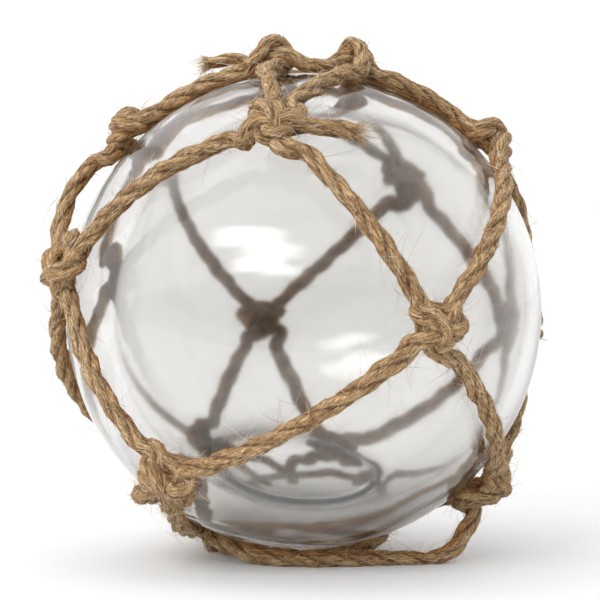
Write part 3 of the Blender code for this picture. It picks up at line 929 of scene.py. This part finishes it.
def fibre_material():
    """Single jute fibres, from straw to tan, with painted shade on the side against the glass."""
    material, nodes, links = new_material("jute_fibre")
    shader = nodes["Principled BSDF"]
    tone = attribute_node(nodes, "fibre_tone")
    color = ramp(
        nodes,
        [
            (0.0, (0.120, 0.062, 0.025)),
            (0.3, (0.380, 0.235, 0.105)),
            (0.6, (0.640, 0.460, 0.250)),
            (1.0, (0.950, 0.840, 0.640)),
        ],
    )
    links.new(tone.outputs["Fac"], color.inputs["Fac"])
    links.new(painted_glass_side_shade(nodes, links, color.outputs["Color"]), shader.inputs["Base Color"])
    shader.inputs["Roughness"].default_value = 0.6
    return material


def glass_material(name, roughness, wave, seal_shade=None):
    """Clear glass with a faint hand-blown wave, and a painted shade band where the seal's thick edge is.
    """
    material, nodes, links = new_material(name)
    shader = nodes["Principled BSDF"]
    shader.inputs["Base Color"].default_value = (*GLASS_COLOR, 1.0)
    if seal_shade:
        shade = ramp(nodes, [(0.0, GLASS_COLOR), (1.0, seal_shade)])
        links.new(attribute_node(nodes, "seal_painted_shade").outputs["Fac"], shade.inputs["Fac"])
        links.new(shade.outputs["Color"], shader.inputs["Base Color"])
    shader.inputs["Roughness"].default_value = roughness
    shader.inputs["IOR"].default_value = 1.5
    shader.inputs["Transmission Weight"].default_value = 1.0
    position = nodes.new("ShaderNodeTexCoord")
    noise = nodes.new("ShaderNodeTexNoise")
    noise.inputs["Scale"].default_value = GLASS_WAVE_SCALE
    noise.inputs["Detail"].default_value = 1.0
    links.new(position.outputs["Object"], noise.inputs["Vector"])
    bump = nodes.new("ShaderNodeBump")
    bump.inputs["Strength"].default_value = wave
    bump.inputs["Distance"].default_value = GLASS_WAVE_DEPTH
    links.new(noise.outputs["Fac"], bump.inputs["Height"])
    links.new(bump.outputs["Normal"], shader.inputs["Normal"])
    return material


# Glass

def turned_skin(radius_at, angles, steps):
    """Vertices and faces of a skin turned round +Z, from its pole at +Z to its pole at -Z."""
    turns = 2 * math.pi * np.arange(steps) / steps
    rings = []
    for angle in angles[1:-1]:
        radii = radius_at(angle, turns)
        rings.append(
            np.stack(
                [
                    radii * math.sin(angle) * np.cos(turns),
                    radii * math.sin(angle) * np.sin(turns),
                    radii * math.cos(angle),
                ],
                axis=1,
            )
        )
    first = np.array([[0.0, 0.0, float(radius_at(angles[0], turns[:1])[0])]])
    last = np.array([[0.0, 0.0, -float(radius_at(angles[-1], turns[:1])[0])]])
    verts = np.concatenate([first, *rings, last])
    faces = []
    end = len(verts) - 1
    for step in range(steps):
        beside = (step + 1) % steps
        faces.append([0, 1 + step, 1 + beside])
        for ring in range(len(rings) - 1):
            start = 1 + ring * steps
            faces.append([start + step, start + steps + step, start + steps + beside, start + beside])
        start = 1 + (len(rings) - 1) * steps
        faces.append([start + step, end, start + beside])
    return verts, faces


def profile_angles(edge, width, count):
    """Angles from the seal's middle to the far pole, closer together at the seal's edge."""
    inside = np.linspace(0.0, edge - width, 14)
    rim = np.linspace(edge - width, edge + width, 15)[1:]
    rest = np.linspace(edge + width, math.pi, count)[1:]
    return np.concatenate([inside, rim, rest])


def make_glass(outer_material, inner_material):
    """The thick shell: its outer skin with the seal's groove, and its off-centre cavity."""
    edge = math.asin(SEAL_DIAMETER / GLASS_DIAMETER)
    groove = SEAL_GROOVE_WIDTH / GLASS_RADIUS

    def outer_radius(angle, turns):
        near = math.exp(-(((angle - edge) / (groove / 2)) ** 2))
        return np.full(len(turns), GLASS_RADIUS - SEAL_GROOVE_DEPTH * near)

    cavity = GLASS_RADIUS * CAVITY_SHARE
    inner_edge = edge * BLOB_EDGE_SHARE

    def inner_radius(angle, turns):
        swell = BLOB_THICKNESS / (1 + math.exp((angle - inner_edge) / BLOB_SOFTNESS))
        wave = np.sin(3 * turns + 5 * angle) * math.sin(angle) ** 2 + 0.7 * math.sin(7 * angle)
        return cavity - swell + CAVITY_WAVE * wave

    outer_verts, outer_faces = turned_skin(
        outer_radius, profile_angles(edge, groove * 1.2, GLASS_PROFILE_POINTS), GLASS_STEPS
    )
    inner_verts, inner_faces = turned_skin(
        inner_radius, profile_angles(inner_edge, BLOB_RINGS_WIDTH, GLASS_PROFILE_POINTS), GLASS_STEPS
    )
    turn = direction(SEAL_PLACE).to_track_quat("Z", "Y").to_matrix()
    turn = np.array(turn)
    from_axis = np.arccos(np.clip(inner_verts[:, 2] / np.linalg.norm(inner_verts, axis=1), -1, 1))
    outer_verts = outer_verts @ turn.T
    inner_verts = inner_verts @ turn.T
    # Painted shade: a dark band along the blob's edge, widest and strongest towards the upper left
    aside = inner_verts - np.outer(inner_verts @ turn[:, 2], turn[:, 2])
    aside /= np.linalg.norm(aside, axis=1)[:, None] + 1e-9
    shade_widest = aside @ (np.array(SEAL_SHADE_SIDE) / np.linalg.norm(SEAL_SHADE_SIDE))
    width = SEAL_SHADE_WIDTH * (1 + SEAL_SHADE_WIDTH_CHANGE * shade_widest)
    strength = SEAL_SHADE_STRENGTH[0] + SEAL_SHADE_STRENGTH[1] * shade_widest
    seal_shade = np.exp(-(((from_axis - inner_edge) / width) ** 2)) * strength
    inner_verts = inner_verts + np.array(CAVITY_SHIFT) * GLASS_RADIUS
    verts = np.concatenate([outer_verts, inner_verts]) + np.array(tuple(BALL_CENTRE))
    shift = len(outer_verts)
    inward = [[index + shift for index in reversed(face)] for face in inner_faces]
    made = mesh_object("glass_ball_shell", verts, outer_faces + inward, outer_material)
    made.data.materials.append(inner_material)
    slots = [0] * len(outer_faces) + [1] * len(inward)
    made.data.polygons.foreach_set("material_index", slots)
    attribute = made.data.attributes.new("seal_painted_shade", "FLOAT", "POINT")
    attribute.data.foreach_set("value", np.concatenate([np.zeros(shift), seal_shade]))
    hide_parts("glass_ball")
    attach(made, "root")
    return made


# Rope

def dress_rope(rope, node, jute, fibre, frayed=0):
    """The rope with its loose and its laid fibres, in place of a solid."""
    for piece in (rope_object(rope, jute), loose_fibres(rope, fibre, frayed), laid_fibres(rope, fibre)):
        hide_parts(node)
        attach(piece, "root")


def make_ropes(jute, fibre):
    top = RingFrame(TOP_RING_CENTRE, TOP_RING_DIAMETER)
    bottom = RingFrame(BOTTOM_RING_CENTRE, BOTTOM_RING_DIAMETER)
    rows = [[Knot(place) for place in row] for row in (UPPER_KNOTS, MIDDLE_KNOTS, LOWER_KNOTS)]
    join_rows(rows, top, bottom)
    for seed, (name, turns) in enumerate(net_cords(rows, top, bottom).items()):
        points, radii = cord_points(turns)
        rope = Rope(f"net_cord_{name}", points, radii, True, seed)
        dress_rope(rope, "rope_net", jute, fibre)
    tails = {
        "upper_cut_end": ([rows[0][1].point(offset) for offset in UPPER_TAIL], ROPE_DIAMETER, "rope_net"),
        "lower_cut_end": ([rows[-1][0].point(offset) for offset in LOWER_TAIL], ROPE_DIAMETER, "rope_net"),
        "top_ring_cut_end": (ring_end_points(top), RING_CORD_DIAMETER, "top_ring_cord"),
    }
    for seed, (name, (points, diameter, node)) in enumerate(tails.items(), start=TAIL_SEED):
        rope = Rope(name, points, [diameter / 2] * len(points), False, seed)
        dress_rope(rope, node, jute, fibre, END_FIBRES)
    rings = {"top_ring_cord": (top, TOP_LOOPS), "bottom_ring_cord": (bottom, BOTTOM_LOOPS)}
    for seed, (node, (ring, loops)) in enumerate(rings.items(), start=RING_SEED):
        points = ring_points(ring, loops)
        radius = RING_CORD_DIAMETER / 2 * SQUEEZED_FULLNESS / ROPE_FULLNESS
        rope = Rope(node + "_rope", points, [radius] * len(points), True, seed)
        dress_rope(rope, node, jute, fibre)


# Studio

def make_floor():
    """White paper under the part, with a faint glow that keeps it as bright as what is behind it."""
    half = FLOOR_WIDTH / 2
    corners = [
        (-half, FLOOR_FRONT, 0.0),
        (half, FLOOR_FRONT, 0.0),
        (half, FLOOR_BACK, 0.0),
        (-half, FLOOR_BACK, 0.0),
    ]
    mesh = bpy.data.meshes.new("floor")
    mesh.from_pydata(corners, [], [(0, 1, 2, 3)])
    floor = bpy.data.objects.new("floor", mesh)
    bpy.context.scene.collection.objects.link(floor)
    material, nodes, links = new_material("floor_paper")
    shader = nodes["Principled BSDF"]
    shader.inputs["Base Color"].default_value = (*[FLOOR_BRIGHTNESS] * 3, 1.0)
    shader.inputs["Roughness"].default_value = 0.9
    shader.inputs["Emission Color"].default_value = (1.0, 1.0, 1.0, 1.0)
    shader.inputs["Emission Strength"].default_value = FLOOR_GLOW
    floor.data.materials.append(material)


def make_world():
    """Soft white surroundings, dim on the camera's side, so that the glass reflects little from there."""
    world = bpy.data.worlds.new("studio")
    bpy.context.scene.world = world
    world.use_nodes = True
    nodes, links = world.node_tree.nodes, world.node_tree.links
    background = nodes["Background"]
    place = nodes.new("ShaderNodeTexCoord")
    split = nodes.new("ShaderNodeSeparateXYZ")
    links.new(place.outputs["Generated"], split.inputs["Vector"])
    shade = nodes.new("ShaderNodeMapRange")
    shade.inputs["From Min"].default_value = -0.9
    shade.inputs["From Max"].default_value = 0.2
    shade.inputs["To Min"].default_value = FRONT_BRIGHTNESS
    shade.inputs["To Max"].default_value = BACK_BRIGHTNESS
    links.new(split.outputs["Y"], shade.inputs["Value"])
    path = nodes.new("ShaderNodeLightPath")
    seen = nodes.new("ShaderNodeMath")
    seen.operation = "MAXIMUM"
    links.new(shade.outputs["Result"], seen.inputs[0])
    links.new(path.outputs["Is Camera Ray"], seen.inputs[1])
    links.new(seen.outputs["Value"], background.inputs["Strength"])
    background.inputs["Color"].default_value = (1.0, 1.0, 1.0, 1.0)


def softbox(name, azimuth, elevation, distance, size, power, lean=0.0):
    """A rectangular light, aimed at the ball. Azimuth 0 is the camera's side, and runs towards +X."""
    light = bpy.data.lights.new(name, "AREA")
    light.shape = "RECTANGLE"
    light.size, light.size_y = size
    light.energy = power
    lamp = bpy.data.objects.new(name, light)
    heading = direction((azimuth, elevation))
    lamp.location = BALL_CENTRE + heading * distance
    turn = heading.to_track_quat("Z", "Y") @ Quaternion((0.0, 0.0, 1.0), math.radians(lean))
    lamp.rotation_euler = turn.to_euler()
    bpy.context.scene.collection.objects.link(lamp)
    return lamp


def soften_edges(lamp):
    """Let a light fade towards its edges, as a window behind a curtain does."""
    lamp.data.use_nodes = True
    nodes, links = lamp.data.node_tree.nodes, lamp.data.node_tree.links
    geometry = nodes.new("ShaderNodeNewGeometry")
    split = nodes.new("ShaderNodeSeparateXYZ")
    links.new(geometry.outputs["Parametric"], split.inputs["Vector"])
    strength = None
    for axis in ("X", "Y"):
        distance = nodes.new("ShaderNodeMath")
        distance.operation = "PINGPONG"
        distance.inputs[1].default_value = 0.5
        links.new(split.outputs[axis], distance.inputs[0])
        fade = nodes.new("ShaderNodeMapRange")
        fade.interpolation_type = "SMOOTHSTEP"
        fade.inputs["From Max"].default_value = 0.35
        links.new(distance.outputs["Value"], fade.inputs["Value"])
        if strength:
            both = nodes.new("ShaderNodeMath")
            both.operation = "MULTIPLY"
            links.new(strength, both.inputs[0])
            links.new(fade.outputs["Result"], both.inputs[1])
            strength = both.outputs["Value"]
        else:
            strength = fade.outputs["Result"]
    links.new(strength, nodes["Emission"].inputs["Strength"])


def make_lights():
    """Two slim window lights that the glass reflects, and two soft lights that it doesn't."""
    for name, azimuth, elevation, size, power in WINDOWS:
        lamp = softbox(name, azimuth, elevation, WINDOW_DISTANCE, size, power, WINDOW_LEAN)
        soften_edges(lamp)
    for name, azimuth, elevation, spread, strength in FILL_LIGHTS:
        light = bpy.data.lights.new(name, "SUN")
        light.energy = strength
        light.angle = math.radians(spread)
        lamp = bpy.data.objects.new(name, light)
        lamp.rotation_euler = direction((azimuth, elevation)).to_track_quat("Z", "Y").to_euler()
        lamp.visible_glossy = False
        bpy.context.scene.collection.objects.link(lamp)


def make_camera():
    """A camera at the photograph's angle, with the ball's outline where the photograph has it."""
    data = bpy.data.cameras.new("camera")
    camera = bpy.data.objects.new("camera", data)
    bpy.context.scene.collection.objects.link(camera)
    distance = CAMERA_DISTANCE * GLASS_RADIUS
    pixels = BALL_PIXEL_RADIUS / math.tan(math.asin(1 / CAMERA_DISTANCE))
    data.lens = pixels * data.sensor_width / FRAME_SIZE
    data.clip_start = distance / 100
    data.clip_end = distance * 100
    heading = direction((0, CAMERA_ELEVATION))
    camera.rotation_mode = "QUATERNION"
    camera.rotation_quaternion = heading.to_track_quat("Z", "Y")
    turn = camera.rotation_quaternion.to_matrix()
    scale = distance / pixels
    middle = FRAME_SIZE / 2
    right = turn @ Vector((1.0, 0.0, 0.0)) * ((middle - BALL_PIXEL[0]) * scale)
    up = turn @ Vector((0.0, 1.0, 0.0)) * ((BALL_PIXEL[1] - middle) * scale)
    camera.location = BALL_CENTRE + heading * distance + right + up
    bpy.context.scene.camera = camera


def main():
    make_floor()
    make_world()
    make_lights()
    make_camera()
    make_glass(
        glass_material("clear_glass", 0.0, OUTER_WAVE),
        glass_material("clear_glass_cavity", INNER_ROUGHNESS, INNER_WAVE, SEAL_SHADE_COLOR),
    )
    make_ropes(jute_material(), fibre_material())
    bpy.context.scene.view_settings.view_transform = "Standard"


main()
